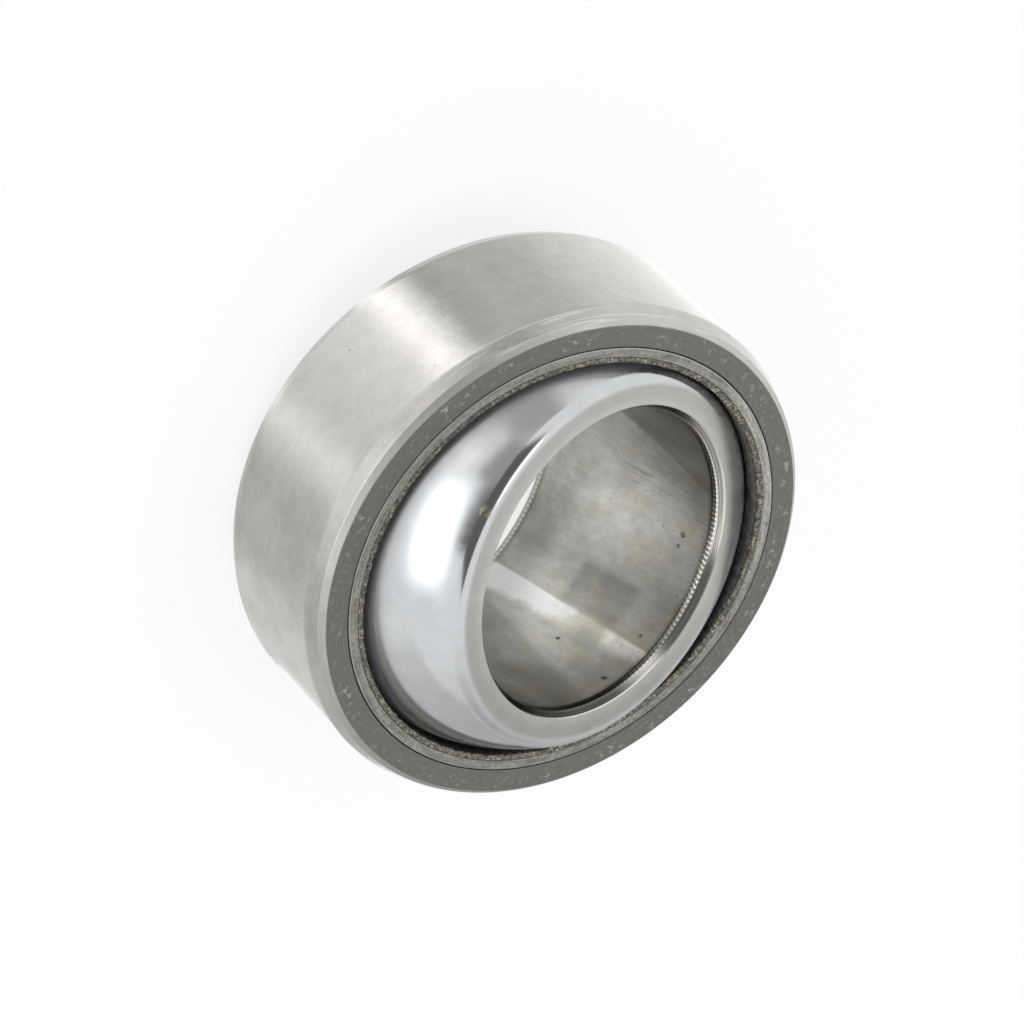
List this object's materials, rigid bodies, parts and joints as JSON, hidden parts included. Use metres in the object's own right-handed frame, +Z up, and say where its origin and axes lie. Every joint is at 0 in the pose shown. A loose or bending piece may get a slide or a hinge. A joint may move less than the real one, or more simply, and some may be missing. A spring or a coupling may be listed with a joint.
{
  "type": "spherical plain bearing",
  "caption": "Radial spherical plain bearing: a ball-shaped inner ring swivels in a steel outer ring lined with a bronze-faced strip that needs no grease.",
  "frame": {"origin": "centre of the ball, where the axes of both rings cross", "axes": "+Z up as the bearing lies on a table, on one rim of each ring; both rings lean about +Y, the outer ring's axis towards -X by 10.31 degrees and the bore's axis towards +X by 4.29 degrees"},
  "size_m": [0.0268, 0.026, 0.0132],
  "materials": {
    "ring_steel": "ground bright on the outside, dark and matt on the end faces",
    "strip_steel": "dull grey strip steel",
    "bronze_layer": "sintered bronze grains with a dark plastic filling, matt",
    "polished_steel": "mirror-polished ball, ground end faces, stained bore"
  },
  "bodies": {
    "outer_body": {"outer_ring": "ring_steel", "liner_backing": "strip_steel", "sliding_layer": "bronze_layer"},
    "inner_body": {"inner_ring": "polished_steel"}
  },
  "joints": [
    {"name": "swivel", "type": "hinge", "parent": "outer_body", "child": "inner_body", "pos_m": [0, 0, 0], "axis": [0, 1, 0], "range_deg": [-29.6, 0.4]}
  ]
}
